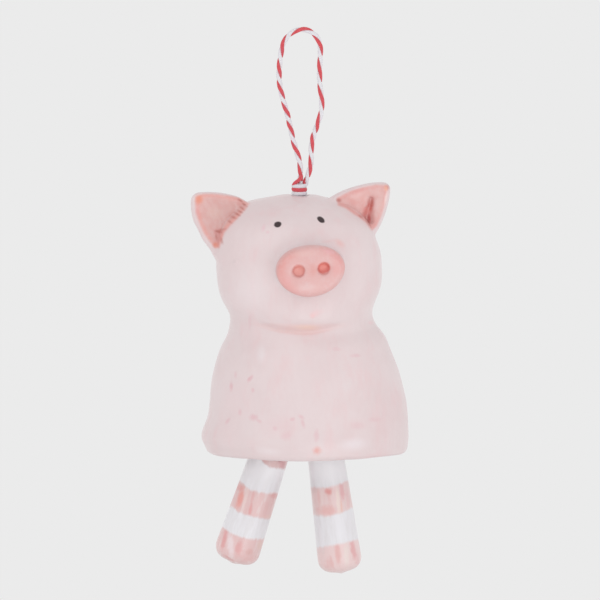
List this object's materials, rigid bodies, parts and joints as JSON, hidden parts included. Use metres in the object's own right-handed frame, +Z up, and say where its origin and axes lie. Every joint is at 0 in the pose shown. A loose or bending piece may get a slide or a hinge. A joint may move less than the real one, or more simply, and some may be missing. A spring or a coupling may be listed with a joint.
{
  "type": "pig bell ornament",
  "caption": "Hollow glazed bell with a pig's head and ears, striped ceramic legs tied inside its rim, hung from a loop of baker's twine.",
  "frame": {"origin": "where a hook bears on the inside of the twine loop's top", "axes": "+Z up along the hanging line, -Y out of the face, +X to the viewer's right"},
  "size_m": [0.0585, 0.0492, 0.1492],
  "materials": {
    "pink_glaze": "pale pink hand-painted glaze, glossy",
    "striped_glaze": "white glaze with painted pink bands, glossy",
    "twine": "two-ply cotton twine, one ply red and one white"
  },
  "bodies": {
    "loop": {"hanging_loop": "twine"},
    "throat": {"loop_throat": "twine"},
    "bell": {"bell_body": "pink_glaze", "top_knot": "twine", "crown_cord": "twine", "stop_knot": "twine"},
    "left_hanger": {"left_tail": "twine", "left_tie_knot": "twine", "left_tie": "twine"},
    "right_hanger": {"right_tail": "twine", "right_tie_knot": "twine", "right_tie": "twine"},
    "left_swinging_leg": {"left_leg": "striped_glaze"},
    "right_swinging_leg": {"right_leg": "striped_glaze"}
  },
  "joints": [
    {"name": "bell_spin", "type": "hinge", "parent": "loop", "child": "throat", "pos_m": [0.0005, 0, -0.0388], "axis": [0, 0, 1], "range_deg": [-180, 180]},
    {"name": "bell_nod", "type": "hinge", "parent": "throat", "child": "bell", "pos_m": [0.0005, 0, -0.04], "axis": [1, 0, 0], "range_deg": [-80, 80]},
    {"name": "left_tail_swing", "type": "hinge", "parent": "bell", "child": "left_hanger", "pos_m": [-0.00112, 0, -0.05298], "axis": [1, 0, 0], "range_deg": [-9, 9]},
    {"name": "right_tail_swing", "type": "hinge", "parent": "bell", "child": "right_hanger", "pos_m": [0.00052, 0, -0.05298], "axis": [1, 0, 0], "range_deg": [-9, 9]},
    {"name": "left_leg_swing", "type": "hinge", "parent": "left_hanger", "child": "left_swinging_leg", "pos_m": [-0.0066, 0, -0.1086], "axis": [0, 1, 0], "range_deg": [-16, 13]},
    {"name": "right_leg_swing", "type": "hinge", "parent": "right_hanger", "child": "right_swinging_leg", "pos_m": [0.00565, 0, -0.1095], "axis": [0, 1, 0], "range_deg": [-18, 5.6]}
  ]
}
